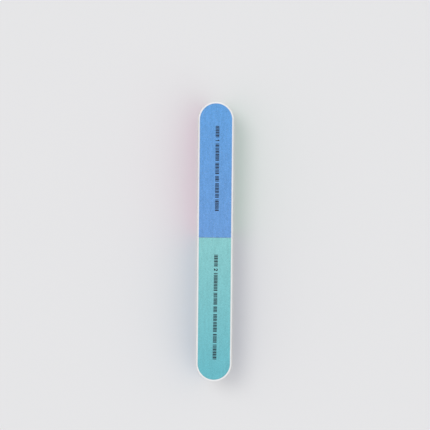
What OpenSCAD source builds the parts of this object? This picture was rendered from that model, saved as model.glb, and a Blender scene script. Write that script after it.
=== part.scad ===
// Seven-step nail buffer block: a long square foam bar with rounded ends and an
// abrasive strip for each step glued on its four long faces.
//
// Frame: X runs along the block from the step 1 end (-X) to the step 2 end (+X),
// Z is up and the block lies on its step 7 face, with the origin at the middle of it.
// Steps 1 and 2 share the top, 3 and 4 the -Y side, 5 and 6 the +Y side.

/* [Block] */
// Length over the two rounded ends
block_l = 178; // [165:1:190]
// Width and height over the strips
block_w = 23.2; // [20:0.1:26]

/* [Strips] */
// Total thickness of a strip: adhesive film, backing and grit coat
strip_t = 0.4; // [0.35:0.05:0.8]
// Thickness of the adhesive film
adhesive_t = 0.08; // [0.05:0.01:0.1]
// Thickness of the grit coat of step 1, the coarsest
coarse_grit_t = 0.18; // [0.16:0.01:0.2]
// How much thinner the grit coat of each finer step is
grit_change_t = 0.02; // [0:0.005:0.02]
// Bare margin along each side of the two top strips
top_margin = 1.3; // [0.8:0.1:2.5]
// Bare margin along each side of the other strips
plain_margin = 1.5; // [0.8:0.1:2.5]
// Bare margin between the end of a top or bottom strip and the tip of the block
end_margin = 1; // [0.8:0.1:2.5]
// How far the side strips wrap round the rounded ends, in degrees
wrap_angle = 60; // [20:1:85]
// Butt gap between the two strips on one face
butt_gap = 0.12; // [0.05:0.01:0.5]

/* [Printing] */
// Height of the printed marks
mark_h = 2.4; // [1.5:0.1:4]
// Width of a printed mark as a share of its pitch
mark_fill = 0.84; // [0.5:0.02:0.88]
// Thickness of a mark's thin bar as a share of its width
thin_bar = 0.32; // [0.2:0.02:0.4]
// Thickness of a mark's thick bar as a share of its width
thick_bar = 0.46; // [0.3:0.02:0.5]
// Space between two words as a share of the marks' pitch
word_gap = 0.5; // [0.3:0.1:1.5]
// Thickness of a numeral's strokes
stroke_w = 0.46; // [0.3:0.02:0.6]
// Depth that the ink sinks into the grit coat
ink_t = 0.01; // [0.01:0.005:0.03]
// Sideways shift of the step 1 print from the middle of the face
step1_print_shift = 1; // [-3:0.05:3]
// Sideways shift of the step 2 print from the middle of the face
step2_print_shift = 0.6; // [-3:0.05:3]

/* [Hidden] */
$fn = 96;
// Height that a cutter stands past the surface it cuts
over = 1;

half_w = block_w / 2;
core_half = half_w - strip_t;
// Place of the centre of each rounded end
end_x = block_l / 2 - core_half;
strip_l = block_l - 2 * end_margin;

// Turn of each face about the block's axis, from the top
TOP = 0;
FRONT = 90;
UNDER = 180;
BACK = -90;

// One row for each step: its face, the X limits of its strip along the face (0 where the strip
// runs to the rounded end), the X limits of its print, the print's sideways shift, its turn in
// degrees, its word lengths in marks (the second word is the numeral) and its colour.
STEP_ROWS = [
    [TOP, [0, -2.5], [-73.6, -19.5], step1_print_shift, 0, [4, 1, 6, 4, 2, 5, 4], "#689cd9"],
    [TOP, [-2.5, 0], [8.4, 75], step2_print_shift, -0.35, [4, 1, 6, 4, 2, 6, 3, 5], "#7cc4c9"],
    [FRONT, [0, -3], [-61, -30.5], 0, 0, [4, 1, 6, 5], "#dd98c2"],
    [FRONT, [-3, 0], [26, 56.6], 0, 0, [4, 1, 5, 6], "#8ab0cd"],
    [BACK, [0, -4.5], [-61, -30.5], 0, 0, [4, 1, 7, 4], "#7fbf9f"],
    [BACK, [-4.5, 0], [26, 56.6], 0, 0, [4, 1, 4, 7], "#9aa3b8"],
    [UNDER, [0, 0], [-18, 18], 0, 0, [4, 1, 5, 3, 4], "#dfe0e3"],
];
STEPS = [1 : len(STEP_ROWS)];

function face_of(step) = STEP_ROWS[step - 1][0];
function limits_of(step) = STEP_ROWS[step - 1][1];
function print_limits(step) = STEP_ROWS[step - 1][2];
function print_shift(step) = STEP_ROWS[step - 1][3];
function print_turn(step) = STEP_ROWS[step - 1][4];
function words_of(step) = STEP_ROWS[step - 1][5];
function colour_of(step) = STEP_ROWS[step - 1][6];
function margin_of(step) = face_of(step) == TOP ? top_margin : plain_margin;
function strip_w_of(step) = block_w - 2 * margin_of(step);
function is_side(step) = abs(face_of(step)) == 90;
function grit_t_of(step) = coarse_grit_t - (step - 1) * grit_change_t;
function grit_base(step) = strip_t - grit_t_of(step);

// Centre lines of the numerals 1 to 7 in a box 0.6 wide and 1 high
NUMERALS = [
    [[0.1, 0.8], [0.35, 1], [0.35, 0]],
    [[0, 0.8], [0.15, 1], [0.45, 1], [0.6, 0.82], [0.6, 0.62], [0, 0], [0.6, 0]],
    [[0, 1], [0.6, 1], [0.28, 0.6], [0.6, 0.42], [0.6, 0.18], [0.45, 0], [0.12, 0], [0, 0.14]],
    [[0.6, 0.3], [0, 0.3], [0.44, 1], [0.44, 0]],
    [[0.56, 1], [0.06, 1], [0.02, 0.58], [0.42, 0.6], [0.6, 0.44], [0.6, 0.18], [0.42, 0], [0, 0]],
    [[0.5, 1], [0.2, 0.8], [0, 0.42], [0, 0.16], [0.15, 0], [0.45, 0], [0.6, 0.16], [0.6, 0.4],
        [0.45, 0.56], [0.12, 0.54], [0, 0.42]],
    [[0, 1], [0.6, 1], [0.2, 0]],
];

// Sum of the first n entries of a list
function sum_to(list, n) = n <= 0 ? 0 : list[n - 1] + sum_to(list, n - 1);
// Pitches from the start of a print to the start of a word
function pitches_before(words, n) = sum_to(words, n) + n * word_gap;

// ---- Outlines ----

// Long outline with round ends
module pill(length, width) {
    square([length - width, width], center = true);
    for (side = [-1, 1])
        translate([side * (length - width) / 2, 0])
            circle(d = width);
}

// Flat strip seen from above, cut square where it meets its neighbour
module flat_outline(step) {
    first = limits_of(step)[0] == 0 ? -block_l : limits_of(step)[0] + butt_gap / 2;
    last = limits_of(step)[1] == 0 ? block_l : limits_of(step)[1] - butt_gap / 2;
    width = strip_w_of(step);
    intersection() {
        pill(strip_l, width);
        translate([first, -width])
            square([last - first, 2 * width]);
    }
}

// Side strip seen from above, on the -Y side: straight from start to the rounded end, then
// round it by wrap_angle
module side_outline(inner, outer, start) {
    reach = 2 * outer;
    translate([start, -outer])
        square([end_x - start, outer - inner]);
    translate([end_x, 0])
        intersection() {
            difference() {
                circle(r = outer);
                circle(r = inner);
            }
            polygon([
                [0, 0],
                [0, -reach],
                [reach * sin(wrap_angle / 2), -reach * cos(wrap_angle / 2)],
                [reach * sin(wrap_angle), -reach * cos(wrap_angle)]
            ]);
        }
}

// ---- Layers and prints ----

// Puts children drawn on the core's surface, facing up, on a step's own face
module on_face(step) {
    translate([0, 0, half_w])
        rotate([face_of(step), 0, 0])
            translate([0, 0, core_half])
                children();
}

// One layer of a strip, between two heights above the core's surface
module layer(step, low, high) {
    if (is_side(step)) {
        end = limits_of(step)[0] == 0 ? -1 : 1;
        start = end * limits_of(step)[end < 0 ? 1 : 0] + butt_gap / 2;
        width = strip_w_of(step);
        translate([0, 0, half_w - width / 2])
            mirror([0, face_of(step) == BACK ? 1 : 0, 0])
                mirror([end < 0 ? 1 : 0, 0, 0])
                    linear_extrude(width)
                        side_outline(core_half + low, core_half + high, start);
    } else {
        on_face(step)
            translate([0, 0, low])
                linear_extrude(high - low)
                    flat_outline(step);
    }
}

// Straight stroke with round ends
module stroke(a, b) {
    translate(a)
        circle(d = stroke_w);
    translate(b)
        circle(d = stroke_w);
    translate(a)
        rotate(atan2(b[1] - a[1], b[0] - a[0]))
            translate([0, -stroke_w / 2])
                square([norm(b - a), stroke_w]);
}

// Numeral of a step, standing on y = 0
module numeral(step) {
    points = NUMERALS[step - 1] * (mark_h - stroke_w);
    translate([stroke_w / 2, stroke_w / 2])
        for (i = [1 : len(points) - 1])
            stroke(points[i - 1], points[i]);
}

// Wordless mark: two upright bars, thin or thick by a rule that changes from mark to mark
module mark(width, turn) {
    kind = turn * turn % 7 % 3;
    left_w = width * (kind == 2 ? thick_bar : thin_bar);
    right_w = width * (kind == 1 ? thick_bar : thin_bar);
    square([left_w, mark_h]);
    translate([width - right_w, 0])
        square([right_w, mark_h]);
}

// Whole line of print, centred on y = print_shift
module print_outline(step) {
    words = words_of(step);
    first = print_limits(step)[0];
    length = print_limits(step)[1] - first;
    pitch = length / (pitches_before(words, len(words)) - word_gap - 1 + mark_fill);
    translate([first + length / 2, print_shift(step)])
        rotate(print_turn(step))
            translate([-length / 2, -mark_h / 2])
                for (w = [0 : len(words) - 1])
                    for (i = [0 : words[w] - 1])
                        translate([(pitches_before(words, w) + i) * pitch, 0])
                            if (w == 1)
                                numeral(step);
                            else
                                mark(pitch * mark_fill, sum_to(words, w) + i + step);
}

// The print as a solid, from the bottom of the ink up to a height above the core's surface
module print_solid(step, top) {
    base = strip_t - ink_t;
    on_face(step)
        translate([0, 0, base])
            linear_extrude(top - base)
                print_outline(step);
}

// ---- Sub-parts ----

// Closed-cell foam bar that everything is glued to
module foam_core() {
    color("#f4f3ef")
        translate([0, 0, strip_t])
            linear_extrude(2 * core_half)
                pill(block_l, 2 * core_half);
}

// Double-sided adhesive film under a strip
module adhesive(step) {
    color("#ece8dc")
        layer(step, 0, adhesive_t);
}

// White backing that carries the grit
module backing(step) {
    color("#f7f6f4")
        layer(step, adhesive_t, grit_base(step));
}

// Coloured grit coat, with shallow pockets that the ink fills
module grit(step) {
    color(colour_of(step))
        difference() {
            layer(step, grit_base(step), strip_t);
            print_solid(step, strip_t + over);
        }
}

// Printed step numeral and line of wordless marks
module step_print(step) {
    color("#20252d")
        print_solid(step, strip_t);
}

foam_core();
for (step = STEPS) {
    adhesive(step);
    backing(step);
    grit(step);
    step_print(step);
}
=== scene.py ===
import math
import random

import bmesh
import bpy
from mathutils import Matrix, Vector, noise
from mathutils.bvhtree import BVHTree


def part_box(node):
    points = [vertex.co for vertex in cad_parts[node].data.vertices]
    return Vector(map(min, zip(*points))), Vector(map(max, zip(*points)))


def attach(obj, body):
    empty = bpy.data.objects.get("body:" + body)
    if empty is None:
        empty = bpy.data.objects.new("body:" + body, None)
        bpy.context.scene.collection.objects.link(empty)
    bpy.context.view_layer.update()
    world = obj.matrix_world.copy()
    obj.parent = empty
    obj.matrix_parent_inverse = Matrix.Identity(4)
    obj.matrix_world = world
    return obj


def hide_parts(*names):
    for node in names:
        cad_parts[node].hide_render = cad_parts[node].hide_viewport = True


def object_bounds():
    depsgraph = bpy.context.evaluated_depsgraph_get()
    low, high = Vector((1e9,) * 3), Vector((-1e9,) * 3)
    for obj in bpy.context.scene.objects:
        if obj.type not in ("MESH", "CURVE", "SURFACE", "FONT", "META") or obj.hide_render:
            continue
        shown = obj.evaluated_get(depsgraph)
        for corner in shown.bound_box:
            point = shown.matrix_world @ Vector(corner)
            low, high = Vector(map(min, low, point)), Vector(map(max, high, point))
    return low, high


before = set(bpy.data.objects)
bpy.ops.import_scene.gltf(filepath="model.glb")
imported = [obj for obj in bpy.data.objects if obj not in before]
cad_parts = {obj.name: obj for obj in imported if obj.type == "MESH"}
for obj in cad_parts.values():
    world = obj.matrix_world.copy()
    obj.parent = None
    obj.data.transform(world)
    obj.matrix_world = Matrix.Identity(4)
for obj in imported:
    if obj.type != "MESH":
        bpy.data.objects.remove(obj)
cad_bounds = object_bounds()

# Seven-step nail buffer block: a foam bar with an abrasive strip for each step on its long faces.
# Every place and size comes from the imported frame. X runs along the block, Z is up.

MM = 0.001
WELD = 0.001 * MM  # points closer than this are one
STEPS = range(1, 8)

# ---- Sizes from the frame ----

core_low, core_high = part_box("foam_core")
CORE_HALF = (core_high.z - core_low.z) / 2  # half of the square section
CENTRE_Z = (core_high.z + core_low.z) / 2
END_X = core_high.x - CORE_HALF  # centre of each rounded end
TOUCH = 0.02 * MM  # a box this far past the core's face counts as outside it

# Outward normal of each face, and the direction across it that the print's tops point to
FACES = {
    "top": (Vector((0, 0, 1)), Vector((0, 1, 0))),
    "front": (Vector((0, -1, 0)), Vector((0, 0, 1))),
    "back": (Vector((0, 1, 0)), Vector((0, 0, -1))),
    "under": (Vector((0, 0, -1)), Vector((0, -1, 0))),
}


def face_of(step):
    """The face that a step's strip is glued on."""
    low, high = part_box(f"step{step}_grit")
    if high.z > core_high.z + TOUCH:
        return "top"
    if low.z < core_low.z - TOUCH:
        return "under"
    return "front" if low.y < core_low.y - TOUCH else "back"


def reach(node, face):
    """How far a node stands out from the core's surface."""
    low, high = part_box(node)
    normal = FACES[face][0]
    corner = high if sum(normal) > 0 else low
    return (corner - Vector((0, 0, CENTRE_Z))).dot(normal) - CORE_HALF


class Strip:
    """Where one strip lies: its length coordinate u runs along X and on round the end of the
    block, its coordinate v runs across the face, and w is the height above the foam."""

    def __init__(self, step):
        self.step = step
        self.face = face_of(step)
        self.normal, self.across = FACES[self.face]
        low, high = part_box(f"step{step}_grit")
        self.wraps = self.face in ("front", "back")
        self.first, self.last = low.x, high.x
        self.half = (high - low).dot(Vector(abs(c) for c in self.across)) / 2
        self.levels = [0.0] + [
            reach(f"step{step}_{layer}", self.face) for layer in ("adhesive", "backing", "grit")
        ]
        if self.wraps:
            radius = CORE_HALF + self.levels[-1]
            far = max(-low.x, high.x)
            self.half = (high.z - low.z) / 2
            turn = math.asin(min(1, (far - END_X) / radius))
            end = END_X + CORE_HALF * turn
            self.first = -end if -low.x > high.x else low.x
            self.last = end if high.x > -low.x else high.x

    def place(self, u, v, w):
        """A point of the strip, in the row frame."""
        out, bent = CORE_HALF + w, abs(u) - END_X
        if self.wraps and bent > 0:
            turn = bent / CORE_HALF
            x = math.copysign(END_X + out * math.sin(turn), u)
            out *= math.cos(turn)
        else:
            x = u
        return Vector((x, 0, CENTRE_Z)) + self.normal * out + self.across * v

    def rounded(self, end):
        """Does the strip have a round end there (-1 or 1)?"""
        edge = self.first if end < 0 else self.last
        return not self.wraps and abs(edge) > END_X

    def inset(self, u, v):
        """How far a point of the strip is from the nearest free edge of it."""
        gaps = [self.half - abs(v)]
        for end, edge in ((-1, self.first), (1, self.last)):
            if abs(edge) < END_X / 2:
                continue  # it butts against its neighbour there
            gap = end * (edge - u)
            if self.rounded(end) and gap < self.half:
                gap = self.half - math.hypot(self.half - gap, v)
            gaps.append(gap)
        return min(gaps)

    def stations(self, pitch):
        """(u, half width) at each station along the strip, closer together round its ends."""
        rounds = math.ceil(self.half * math.pi / 2 / pitch)
        turns = [math.pi / 2 * i / rounds for i in range(rounds)]
        start, stop = self.first, self.last
        head, tail = [], []
        if self.rounded(-1):
            start = self.first + self.half
            head = [(start - self.half * math.cos(a), self.half * math.sin(a)) for a in turns]
        if self.rounded(1):
            stop = self.last - self.half
            tail = [(stop + self.half * math.cos(a), self.half * math.sin(a)) for a in turns]
        count = math.ceil((stop - start) / pitch)
        straight = [(start + (stop - start) * i / count, self.half) for i in range(count + 1)]
        return head + straight + tail[::-1]


strips = {step: Strip(step) for step in STEPS}

# ---- Meshes ----


def rough(u, v, scale, seed):
    """Smooth noise from -1 to 1 over the strip, with features about scale in size."""
    return noise.noise(Vector((u / scale, v / scale, 17.3 * seed)))


def make_object(name, bm, material):
    """A smooth closed mesh object from a bmesh, with its normals outwards."""
    bmesh.ops.recalc_face_normals(bm, faces=bm.faces)
    for face in bm.faces:
        face.smooth = True
    mesh = bpy.data.meshes.new(name)
    bm.to_mesh(mesh)
    bm.free()
    mesh.materials.append(material)
    obj = bpy.data.objects.new(name, mesh)
    bpy.context.scene.collection.objects.link(obj)
    return obj


GRIT_PITCH = 0.25 * MM
PLAIN_PITCH = 0.9 * MM
EDGE = 0.1 * MM  # width of the crushed edge of a coat
EDGE_DROP = 0.4  # how far that edge is pressed down, as a share of the coat's thickness
INK_CELL = 0.12 * MM  # about the size of the pieces that an ink mark is cut into, to lie on the grains
INK_PROUD = 0.008 * MM  # how far the ink's top stands above the grains
INK_SUNK = 0.03 * MM  # thickness of the ink, most of it sunk in the coat
OUTWARD = 0.9  # a face looks out of the block if its normal agrees with the strip's this much
GRAIN_SPACING = 0.42 * MM
FINE_SPACING = 0.23 * MM  # of the smaller grains between them
CLUMP_SPACING = 1.7 * MM
# Height in mm of the grains of each step's coat, from coarse to nearly smooth
GRAIN = {1: 0.045, 2: 0.036, 3: 0.026, 4: 0.020, 5: 0.014, 6: 0.008, 7: 0.004}


def coat_height(strip, u, v):
    """Height of a grit coat's surface above the foam: its mean level plus grains and clumps, a
    little low so that the ink laid on it ends at the CAD's level."""
    size = GRAIN[strip.step] * MM
    mean, base = strip.levels[3] - INK_PROUD - size, strip.levels[2]
    grains = rough(u, v, GRAIN_SPACING, strip.step)
    grains += 0.6 * rough(u, v, FINE_SPACING, strip.step + 20)
    clumps = 0.5 * rough(u, v, CLUMP_SPACING, strip.step + 40)
    crushed = max(0.0, 1 - strip.inset(u, v) / EDGE) * EDGE_DROP
    return mean + size * (grains + clumps) - crushed * (strip.levels[3] - base)


def flat_height(level):
    """The plain top of one of a strip's layers."""
    return lambda strip, u, v: strip.levels[level + 1]


def cut_edge(strip, u, side, level):
    """Small sideways wander of a strip's cut edge."""
    wander = 0.035 * rough(u, side * 0.01, 9 * MM, strip.step + 60 + level)
    fray = 0.012 * rough(u, side * 0.01, 0.8 * MM, strip.step + 80 + level)
    return (wander + fray) * MM


def layer(name, strip, level, pitch, material, height):
    """One closed layer of a strip: a grid whose top is at height(strip, u, v), on a flat underside.
    Its vertices carry their distance in mm from the nearest free edge, as the attribute inset."""
    count = math.ceil(2 * strip.half / pitch)
    shares = [-1 + 2 * j / count for j in range(count + 1)]
    lip = EDGE / strip.half
    shares = [-1, -1 + lip / 2, -1 + lip] + shares[1:-1] + [1 - lip, 1 - lip / 2, 1]
    bm = bmesh.new()
    inset = bm.verts.layers.float.new("inset")
    tops, floors = [], []
    for u, half in strip.stations(pitch):
        top = []
        for share in shares:
            v = share * half
            shift = share * cut_edge(strip, u, math.copysign(1, share), level) * half / strip.half
            top.append(bm.verts.new(strip.place(u, v + shift, height(strip, u, v))))
            top[-1][inset] = max(0.0, strip.inset(u, v)) / MM
            if share in (-1, 1):
                floors.append(bm.verts.new(strip.place(u, v + shift, strip.levels[level])))
        tops.append(top)
    lefts, rights = floors[::2], floors[1::2]
    for i in range(len(tops) - 1):
        for j in range(len(shares) - 1):
            bm.faces.new((tops[i][j], tops[i][j + 1], tops[i + 1][j + 1], tops[i + 1][j]))
        bm.faces.new((lefts[i], rights[i], rights[i + 1], lefts[i + 1]))
        bm.faces.new((tops[i][0], tops[i + 1][0], lefts[i + 1], lefts[i]))
        bm.faces.new((tops[i][-1], tops[i + 1][-1], rights[i + 1], rights[i]))
    for i in (0, -1):
        bm.faces.new([lefts[i]] + tops[i] + [rights[i]])
    bmesh.ops.remove_doubles(bm, verts=bm.verts, dist=WELD)
    return make_object(name, bm, material)


def print_piece(name, strip, coat, material):
    """The ink of a step's print: the CAD marks' outlines, cut small and laid on the coat."""
    grains = bmesh.new()
    grains.from_mesh(coat.data)
    surface = BVHTree.FromBMesh(grains)
    grains.free()
    bm = bmesh.new()
    bm.from_mesh(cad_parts[f"step{strip.step}_print"].data)
    bmesh.ops.remove_doubles(bm, verts=bm.verts, dist=WELD)
    bm.normal_update()
    hidden = [f for f in bm.faces if f.normal.dot(strip.normal) < OUTWARD]
    bmesh.ops.delete(bm, geom=hidden, context="FACES")
    bmesh.ops.dissolve_limit(bm, angle_limit=0.01, verts=bm.verts, edges=bm.edges)
    low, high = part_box(f"step{strip.step}_print")
    for axis in (Vector((1, 0, 0)), strip.across):
        start, stop = sorted((low.dot(axis), high.dot(axis)))
        count = round((stop - start) / INK_CELL)
        for k in range(1, count):
            geom = bm.verts[:] + bm.edges[:] + bm.faces[:]
            spot = axis * (start + (stop - start) * k / count)
            bmesh.ops.bisect_plane(bm, geom=geom, plane_co=spot, plane_no=axis)
    bmesh.ops.remove_doubles(bm, verts=bm.verts, dist=WELD)
    bmesh.ops.triangulate(bm, faces=bm.faces)
    for vert in bm.verts:
        hit = surface.ray_cast(vert.co + strip.normal * MM, -strip.normal)[0]
        vert.co = hit + strip.normal * INK_PROUD
    rim = bmesh.ops.extrude_face_region(bm, geom=bm.faces[:])
    for vert in [g for g in rim["geom"] if isinstance(g, bmesh.types.BMVert)]:
        vert.co -= strip.normal * INK_SUNK
    return make_object(name, bm, material)


# The foam bar
FILLET = 0.45 * MM  # rounding of its long edges
FOAM_PITCH = 0.4 * MM
FOAM_CAP = 3.2 * MM  # how far in from the edge the top and the underside have fine faces
CORNER = 5  # steps round an edge
PORE = 0.9 * MM
PIT_DEPTH = 0.06 * MM
SWELL = 0.03 * MM  # how far the cut faces wander in and out
NICKS = 46  # small dents along the long edges
NICK_DEPTH = 0.16 * MM


def foam_section():
    """Section from the top's hidden middle, out over the edge and down to the underside:
    inset from the outline, height from the centre, how much of the normal is sideways."""
    count = math.ceil((FOAM_CAP - FILLET) / FOAM_PITCH)
    section = [(FOAM_CAP + (FILLET - FOAM_CAP) * k / count, CORE_HALF, 0.0) for k in range(count)]
    for k in range(CORNER + 1):
        a = math.pi / 2 * k / CORNER
        section.append((FILLET * (1 - math.sin(a)), CORE_HALF - FILLET * (1 - math.cos(a)), math.sin(a)))
    side_top = CORE_HALF - FILLET
    count = math.ceil(2 * side_top / FOAM_PITCH)
    side = [(0.0, side_top - 2 * side_top * k / count, 1.0) for k in range(1, count)]
    return section + side + [(inset, -z, s) for inset, z, s in reversed(section)]


def foam_outline():
    """Points round the bar seen from above, each with its outward direction."""
    along = math.ceil(2 * END_X / FOAM_PITCH)
    rounds = math.ceil(math.pi * CORE_HALF / FOAM_PITCH)
    outline = []
    for side in (1, -1):
        for k in range(along):
            x = side * (END_X - 2 * END_X * k / along)
            outline.append((Vector((x, 0, 0)), Vector((0, side, 0))))
        for k in range(rounds):
            a = side * math.pi / 2 + math.pi * k / rounds
            outline.append((Vector((-side * END_X, 0, 0)), Vector((math.cos(a), math.sin(a), 0))))
    return outline


def foam_bar(name, material):
    """The foam core: a long bar with rounded ends, soft long edges, pores and small dents."""
    chance = random.Random(7)
    outline = foam_outline()
    nicks = []
    for _ in range(NICKS):
        base, out = chance.choice(outline)
        spot = base + out * CORE_HALF + Vector((0, 0, chance.choice((-1, 1)) * CORE_HALF))
        nicks.append((spot, chance.uniform(0.35, 0.8) * MM, chance.uniform(0.4, 1.0) * NICK_DEPTH))
    section = foam_section()
    bm = bmesh.new()
    rings = []
    for base, out in outline:
        ring = []
        for inset, z, sideways in section:
            spot = base + out * (CORE_HALF - inset) + Vector((0, 0, z))
            sink = SWELL * (1 - noise.noise(spot / (14 * MM)))
            sink += PIT_DEPTH * max(0.0, noise.noise(spot / PORE + Vector((5, 0, 0))) - 0.15)
            if abs(abs(z) - CORE_HALF) < 2 * FILLET and inset < 2 * FILLET:
                for centre, size, depth in nicks:
                    gap = (spot - centre).length / size
                    if gap < 1:
                        sink += depth * (1 - gap * gap) ** 2
            normal = out * sideways + Vector((0, 0, math.copysign(1 - sideways, z)))
            ring.append(bm.verts.new(spot - normal * sink + Vector((0, 0, CENTRE_Z))))
        rings.append(ring)
    for ring, after in zip(rings, rings[1:] + rings[:1]):
        for k in range(len(section) - 1):
            bm.faces.new((ring[k], ring[k + 1], after[k + 1], after[k]))
    bm.faces.new([ring[0] for ring in rings])
    bm.faces.new([ring[-1] for ring in rings])
    return make_object(name, bm, material)


# ---- Materials ----


def linear(red, green, blue, alpha=1.0):
    """A colour given as sRGB values of 0 to 255, in the linear values that shaders take."""
    values = [c / 255 for c in (red, green, blue)]
    return [c / 12.92 if c < 0.04045 else ((c + 0.055) / 1.055) ** 2.4 for c in values] + [alpha]


BLACK, WHITE = linear(0, 0, 0), linear(255, 255, 255)


class Nodes:
    """A material's node tree, with short ways to add and join nodes."""

    def __init__(self, name, roughness, specular=0.5):
        self.material = bpy.data.materials.new(name)
        self.material.use_nodes = True
        self.tree = self.material.node_tree
        self.shader = self.tree.nodes["Principled BSDF"]
        self.shader.inputs["Roughness"].default_value = roughness
        self.shader.inputs["Specular IOR Level"].default_value = specular
        self.place = self.add("ShaderNodeTexCoord").outputs["Object"]

    def add(self, kind, **settings):
        node = self.tree.nodes.new(kind)
        for key, value in settings.items():
            setattr(node, key, value)
        return node

    def link(self, source, target):
        self.tree.links.new(source, target)

    def noise(self, size, detail=3.0, roughness=0.5, stretch=1.0):
        """Noise from 0 to 1 of features about size metres across, stretched along the block."""
        node = self.add("ShaderNodeTexNoise")
        node.inputs["Scale"].default_value = 1 / size
        node.inputs["Detail"].default_value = detail
        node.inputs["Roughness"].default_value = roughness
        place = self.place
        if stretch != 1:
            mapping = self.add("ShaderNodeMapping")
            mapping.inputs["Scale"].default_value = (1 / stretch, 1, 1)
            self.link(place, mapping.inputs["Vector"])
            place = mapping.outputs["Vector"]
        self.link(place, node.inputs["Vector"])
        return node.outputs["Fac"]

    def cells(self, size, output="Distance"):
        """Voronoi cells about size metres across: how far a point is from its cell's middle."""
        node = self.add("ShaderNodeTexVoronoi")
        node.inputs["Scale"].default_value = 1 / size
        self.link(self.place, node.inputs["Vector"])
        return node.outputs[output]

    def chance(self, size):
        """A random number from 0 to 1 for each of the cells about size metres across."""
        split = self.add("ShaderNodeSeparateColor")
        self.link(self.cells(size, "Color"), split.inputs[0])
        return split.outputs[0]

    def attribute(self, name):
        """A value that the mesh carries at each vertex."""
        return self.add("ShaderNodeAttribute", attribute_name=name).outputs["Fac"]

    def grey(self, value):
        """A value as a colour."""
        node = self.add("ShaderNodeCombineColor")
        for socket in node.inputs:
            self.link(value, socket)
        return node.outputs[0]

    def ramp(self, source, low, high, start=0.0, stop=1.0):
        """source stretched from low..high to start..stop."""
        node = self.add("ShaderNodeMapRange")
        for key, value in zip(("From Min", "From Max", "To Min", "To Max"), (low, high, start, stop)):
            node.inputs[key].default_value = value
        self.link(source, node.inputs["Value"])
        return node.outputs["Result"]

    def math(self, operation, a, b):
        node = self.add("ShaderNodeMath", operation=operation)
        for socket, value in zip(node.inputs, (a, b)):
            if isinstance(value, (int, float)):
                socket.default_value = value
            else:
                self.link(value, socket)
        return node.outputs[0]

    def mix(self, factor, a, b, blend="MIX"):
        """Colours or colour sockets a and b, mixed."""
        node = self.add("ShaderNodeMix", data_type="RGBA", blend_type=blend)
        for socket, value in ((node.inputs["Factor"], factor), (node.inputs[6], a), (node.inputs[7], b)):
            if isinstance(value, (int, float, list)):
                socket.default_value = value
            else:
                self.link(value, socket)
        return node.outputs[2]

    def bump(self, height, distance, strength=1.0):
        node = self.add("ShaderNodeBump")
        node.inputs["Distance"].default_value = distance
        node.inputs["Strength"].default_value = strength
        self.link(height, node.inputs["Height"])
        self.link(node.outputs["Normal"], self.shader.inputs["Normal"])

    def axis(self, index):
        """One coordinate of the place on the block, in metres."""
        node = self.add("ShaderNodeSeparateXYZ")
        self.link(self.place, node.inputs[0])
        return node.outputs[index]


def foam_material():
    """White closed-cell foam, cut through its cells, with painted shade darkening the pits of its cells.
    """
    m = Nodes("white_foam", roughness=0.85, specular=0.25)
    pores = m.ramp(m.cells(0.32 * MM), 0.0, 0.45)
    open_cells = m.ramp(m.cells(0.85 * MM), 0.06, 0.2)
    patches = m.noise(6 * MM, detail=4)
    tint = m.mix(m.ramp(patches, 0.3, 0.7), linear(246, 246, 246), linear(241, 241, 241))
    # Painted shade: the middles of the pores and of the open cells, which the bump sinks, are painted
    # darker
    colour = m.mix(m.ramp(pores, 0.0, 0.5, 0.2, 0.0), tint, linear(214, 214, 213))
    colour = m.mix(m.ramp(open_cells, 0.0, 1.0, 0.3, 0.0), colour, linear(200, 200, 199))
    m.link(colour, m.shader.inputs["Base Color"])
    m.shader.inputs["Subsurface Weight"].default_value = 0.15
    m.shader.inputs["Subsurface Radius"].default_value = (0.002, 0.002, 0.002)
    m.shader.inputs["Subsurface Scale"].default_value = 1.0
    m.bump(m.math("ADD", pores, open_cells), 0.05 * MM, 0.8)
    return m.material


def paper_material():
    """White paper backing with short fibres."""
    m = Nodes("white_backing", roughness=0.7, specular=0.3)
    fibres = m.noise(0.35 * MM, detail=5, roughness=0.7)
    colour = m.mix(m.ramp(fibres, 0.35, 0.65), linear(240, 239, 237), linear(230, 229, 227))
    m.link(colour, m.shader.inputs["Base Color"])
    m.bump(fibres, 0.03 * MM, 0.5)
    return m.material


def adhesive_material():
    """Milky film of glue, a little glossy."""
    m = Nodes("adhesive_film", roughness=0.35, specular=0.5)
    streaks = m.noise(1.2 * MM, detail=2)
    colour = m.mix(m.ramp(streaks, 0.3, 0.7), linear(230, 226, 215), linear(218, 213, 200))
    m.link(colour, m.shader.inputs["Base Color"])
    m.link(m.ramp(streaks, 0.3, 0.7, 0.3, 0.45), m.shader.inputs["Roughness"])
    return m.material


# Each step's look: sRGB colour near the middle of the block and at the end of it, size of a
# grain in mm, how strongly the grains differ, roughness, and height of the grains' bump in mm
# The change from the colour near the middle to the colour at the end is painted glare
LOOKS = {
    1: ((103, 155, 216), (96, 160, 222), 0.20, 0.34, 0.72, 0.060),
    2: ((135, 202, 202), (100, 184, 196), 0.17, 0.26, 0.70, 0.050),
    3: ((222, 154, 195), (219, 147, 190), 0.15, 0.20, 0.68, 0.038),
    4: ((139, 177, 206), (132, 171, 204), 0.13, 0.17, 0.66, 0.032),
    5: ((128, 192, 161), (121, 188, 158), 0.11, 0.14, 0.60, 0.024),
    6: ((155, 164, 185), (149, 159, 183), 0.10, 0.10, 0.48, 0.015),
    7: ((224, 225, 228), (222, 223, 228), 0.09, 0.06, 0.32, 0.008),
}
STREAK = 5.0  # how much longer than wide the coating's streaks are
WORN = 0.12  # width in mm of the pale crushed band along a cut edge
SPECK = 0.75  # spacing in mm of the odd bright or dark grains


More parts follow.
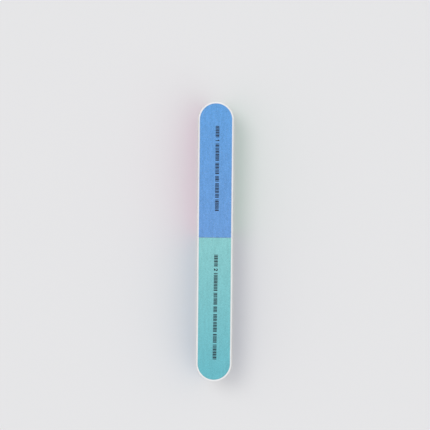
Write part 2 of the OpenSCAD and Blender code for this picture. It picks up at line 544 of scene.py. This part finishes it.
def grit_material(strip):
    """Coloured resin full of grains, paler where its cut edge is crushed."""
    near, far, grain, contrast, roughness, height = LOOKS[strip.step]
    m = Nodes(f"step{strip.step}_abrasive", roughness, specular=0.45)
    # The colour drifts from the middle of the block to its end, a painted glare
    along = m.axis(0)
    if abs(strip.first) < abs(strip.last):
        glare_drift = m.ramp(along, strip.first, strip.last)
    else:
        glare_drift = m.ramp(along, strip.last, strip.first)
    base = m.mix(glare_drift, linear(*near), linear(*far))
    # Grains are a little lighter or darker than the resin, clump together and lie in faint streaks
    clumps = m.noise(1.1 * MM, detail=4, roughness=0.65)
    streaks = m.noise(1.6 * MM, detail=3, stretch=STREAK)
    speckle = m.math("ADD", m.chance(grain * MM), m.ramp(clumps, 0.3, 0.7, -0.33, 0.33))
    speckle = m.math("ADD", speckle, m.ramp(streaks, 0.3, 0.7, -0.2, 0.2))
    shade = m.ramp(speckle, 0.0, 1.0, 1 - contrast / 2, 1 + contrast / 2)
    colour = m.mix(1.0, base, m.grey(shade), "MULTIPLY")
    # Odd spots stand out: bright ones are lighter grains, dark ones are painted shade in small pits
    spots = m.ramp(m.cells(SPECK * MM), 0.10, 0.16, min(1.0, 2 * contrast), 0.0)
    bright = m.math("GREATER_THAN", m.chance(SPECK * MM), 0.5)
    colour = m.mix(spots, colour, m.mix(bright, m.mix(0.45, colour, BLACK), m.mix(0.5, colour, WHITE)))
    # The crushed edge
    ragged = m.math("ADD", m.attribute("inset"), m.ramp(clumps, 0.3, 0.7, -0.06, 0.06))
    worn = m.ramp(ragged, 0.0, WORN, 0.6, 0.0)
    m.link(m.mix(worn, colour, linear(236, 237, 239)), m.shader.inputs["Base Color"])
    m.link(m.ramp(speckle, 0.0, 1.0, roughness + 0.08, roughness - 0.08), m.shader.inputs["Roughness"])
    relief = m.math("SUBTRACT", m.math("MULTIPLY", clumps, 0.8), m.cells(grain * MM))
    m.bump(relief, height * MM)
    if strip.step == 7:
        m.shader.inputs["Coat Weight"].default_value = 0.25
        m.shader.inputs["Coat Roughness"].default_value = 0.3
    return m.material


def ink_material(strip):
    """Dark ink, thin enough that the coat's grains show through here and there."""
    near, far, grain, contrast = LOOKS[strip.step][:4]
    m = Nodes(f"step{strip.step}_ink", roughness=0.5, specular=0.3)
    grains = m.noise(0.25 * MM, detail=3, roughness=0.6)
    middle = [(a + b) / 2 for a, b in zip(near, far)]
    show = m.ramp(grains, 0.58, 0.78, 0.0, contrast)
    m.link(m.mix(show, linear(20, 25, 38), linear(*middle)), m.shader.inputs["Base Color"])
    m.bump(grains, 0.02 * MM, 0.6)
    return m.material


# ---- The object ----

core = foam_bar("foam_bar", foam_material())
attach(core, "root")
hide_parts("foam_core")

adhesive_film, backing_paper = adhesive_material(), paper_material()
for step, strip in strips.items():
    coat = layer(f"grit_coat_{step}", strip, 2, GRIT_PITCH, grit_material(strip), coat_height)
    pieces = {
        "adhesive": layer(f"adhesive_film_{step}", strip, 0, PLAIN_PITCH, adhesive_film, flat_height(0)),
        "backing": layer(f"backing_{step}", strip, 1, PLAIN_PITCH, backing_paper, flat_height(1)),
        "grit": coat,
        "print": print_piece(f"step_print_{step}", strip, coat, ink_material(strip)),
    }
    for kind, piece in pieces.items():
        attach(piece, "root")
        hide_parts(f"step{step}_{kind}")

# ---- Floor, light and camera ----

TOP_Z = cad_bounds[1][2]
BACKDROP = linear(230, 230, 232)  # the floor and the world behind it look the same
FLOOR_GREY = 0.79  # the floor's own colour, which world and suns together light to match that
FLOOR_SIZE = 60

bpy.ops.mesh.primitive_plane_add(size=FLOOR_SIZE, location=(0, 0, cad_bounds[0][2]))
floor = bpy.context.active_object
floor.name = "floor"
floor_look = Nodes("pale_floor", roughness=0.9, specular=0.0)
floor_look.shader.inputs["Base Color"].default_value = [FLOOR_GREY] * 3 + [1.0]
floor.data.materials.append(floor_look.material)

world = bpy.data.worlds.new("studio")
bpy.context.scene.world = world
world.use_nodes = True
world.node_tree.nodes["Background"].inputs["Color"].default_value = BACKDROP


def soft_sun(name, place, spread, power):
    """A large far softbox: a sun with a wide disc, which lights floor and block evenly."""
    light = bpy.data.lights.new(name, "SUN")
    light.angle = math.radians(spread)
    light.energy = power
    lamp = bpy.data.objects.new(name, light)
    lamp.rotation_euler = Vector(place).to_track_quat("Z", "Y").to_euler()
    bpy.context.scene.collection.objects.link(lamp)


soft_sun("key", (-0.5, -0.6, 1.3), 30, 0.55)
soft_sun("fill", (0.7, 0.9, 1.1), 50, 0.27)

# The camera looks straight down with the step 1 end up, as in the photograph
VIEW_WIDTH = 273.7 * MM  # what the frame holds, across, at the block's top
DISTANCE = 0.95  # from the lens to the block's top
AIM = Vector((-16.9 * MM, -0.11 * MM, TOP_Z))
ROLL = math.radians(0.54)

camera_data = bpy.data.cameras.new("camera")
camera_data.sensor_width = 36
camera_data.lens = camera_data.sensor_width * DISTANCE / VIEW_WIDTH
camera = bpy.data.objects.new("camera", camera_data)
right = Vector((-math.sin(ROLL), math.cos(ROLL), 0))
up = Vector((-math.cos(ROLL), -math.sin(ROLL), 0))
back = right.cross(up)
turn = Matrix((right, up, back)).transposed().to_4x4()
camera.matrix_world = Matrix.Translation(AIM + back * DISTANCE) @ turn
bpy.context.scene.collection.objects.link(camera)
bpy.context.scene.camera = camera
bpy.context.scene.view_settings.view_transform = "Standard"
